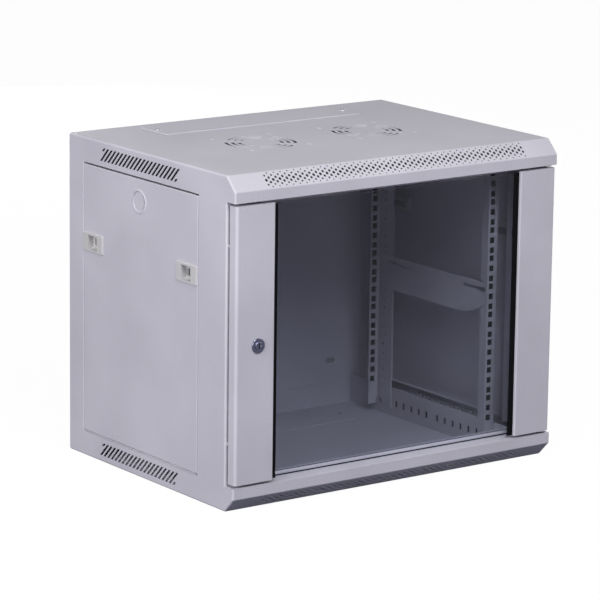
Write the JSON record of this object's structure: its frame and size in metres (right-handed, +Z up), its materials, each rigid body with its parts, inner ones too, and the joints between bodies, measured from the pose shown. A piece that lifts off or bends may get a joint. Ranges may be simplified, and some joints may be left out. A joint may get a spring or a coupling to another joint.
{
  "type": "wall mount network cabinet",
  "caption": "Wall-mounted network cabinet with a tinted glass door in grey steel strips, lift-off side panels, vented covers and square-hole mounting rails.",
  "frame": {"origin": "middle of the underside of the cabinet body, halfway between its front plane and the wall", "axes": "+X to the right as seen from the front (towards the door hinge), +Y from the door to the wall, +Z up"},
  "size_m": [0.6044, 0.4538, 0.5038],
  "materials": {
    "cabinet_paint": "fine textured powder coat, light grey",
    "rail_paint": "powder coat, light grey",
    "grille_paint": "powder coat, light grey",
    "zinc_plated_steel": "bright zinc",
    "chrome": "polished",
    "tinted_glass": "toughened, grey tint",
    "black_tape": "black foam tape",
    "bush_plastic": "moulded nylon",
    "bumper_rubber": "grey rubber",
    "latch_plastic": "moulded, fine texture"
  },
  "bodies": {
    "frame": {"top_cover": "cabinet_paint", "bottom_cover": "cabinet_paint", "top_grille": "grille_paint", "bottom_grille": "grille_paint", "cable_entry_plate_top": "cabinet_paint", "cable_entry_plate_bottom": "cabinet_paint", "cable_entry_screws": "zinc_plated_steel", "post_front_right": "cabinet_paint", "post_front_left": "cabinet_paint", "post_rear_right": "cabinet_paint", "post_rear_left": "cabinet_paint", "rear_panel": "cabinet_paint", "lower_door_stop": "cabinet_paint", "upper_door_stop": "cabinet_paint", "hinge_bush_lower": "bush_plastic", "hinge_bush_upper": "bush_plastic", "door_bumpers": "bumper_rubber", "rail_front_right": "rail_paint", "rail_front_left": "rail_paint", "rail_rear_right": "rail_paint", "rail_rear_left": "rail_paint", "depth_rail_bottom_right": "rail_paint", "depth_rail_bottom_left": "rail_paint", "depth_rail_top_right": "rail_paint", "depth_rail_top_left": "rail_paint", "side_brace_right": "rail_paint", "side_brace_left": "rail_paint", "rail_bolts": "zinc_plated_steel", "brace_screws": "zinc_plated_steel", "earth_stud": "zinc_plated_steel"},
    "door": {"door_strip_left": "cabinet_paint", "door_strip_right": "cabinet_paint", "door_glass": "tinted_glass", "glass_gasket_right": "black_tape", "glass_gasket_left": "black_tape", "hinge_pin_lower": "zinc_plated_steel", "hinge_sleeve_upper": "cabinet_paint", "hinge_sleeve_lower": "cabinet_paint", "lock_housing": "chrome", "lock_nut": "zinc_plated_steel"},
    "upper_pin": {"hinge_pin_upper": "zinc_plated_steel"},
    "lock": {"lock_plug": "chrome", "lock_cam": "zinc_plated_steel", "lock_cam_screw": "zinc_plated_steel"},
    "panel_right": {"side_panel_right": "cabinet_paint", "latch_housing_right_front": "latch_plastic", "latch_housing_right_rear": "latch_plastic"},
    "panel_left": {"side_panel_left": "cabinet_paint", "latch_housing_left_front": "latch_plastic", "latch_housing_left_rear": "latch_plastic"},
    "latch_right_front": {"latch_slide_right_front": "latch_plastic"},
    "latch_right_rear": {"latch_slide_right_rear": "latch_plastic"},
    "latch_left_front": {"latch_slide_left_front": "latch_plastic"},
    "latch_left_rear": {"latch_slide_left_rear": "latch_plastic"}
  },
  "joints": [
    {"name": "door_hinge", "type": "hinge", "parent": "frame", "child": "door", "pos_m": [0.289, -0.2155, 0.2505], "axis": [0, 0, 1], "range_deg": [0, 180]},
    {"name": "upper_pin_slide", "type": "slide", "parent": "door", "child": "upper_pin", "axis": [0, 0, -1], "range_m": [0, 0.009], "stiffness_N_per_m": 300, "springref_m": -0.002},
    {"name": "lock_turn", "type": "hinge", "parent": "door", "child": "lock", "pos_m": [-0.258, -0.225, 0.2495], "axis": [0, -1, 0], "range_deg": [0, 90]},
    {"name": "right_panel_tilt", "type": "hinge", "parent": "frame", "child": "panel_right", "pos_m": [0.2994, 0.02535, 0.0385], "axis": [0, 1, 0], "range_deg": [0, 25]},
    {"name": "left_panel_tilt", "type": "hinge", "parent": "frame", "child": "panel_left", "pos_m": [-0.2994, 0.02535, 0.0385], "axis": [0, -1, 0], "range_deg": [0, 25]},
    {"name": "right_front_latch_slide", "type": "slide", "parent": "panel_right", "child": "latch_right_front", "axis": [0, -1, 0], "range_m": [0, 0.008]},
    {"name": "right_rear_latch_slide", "type": "slide", "parent": "panel_right", "child": "latch_right_rear", "axis": [0, 1, 0], "range_m": [0, 0.008]},
    {"name": "left_front_latch_slide", "type": "slide", "parent": "panel_left", "child": "latch_left_front", "axis": [0, -1, 0], "range_m": [0, 0.008]},
    {"name": "left_rear_latch_slide", "type": "slide", "parent": "panel_left", "child": "latch_left_rear", "axis": [0, 1, 0], "range_m": [0, 0.008]}
  ]
}
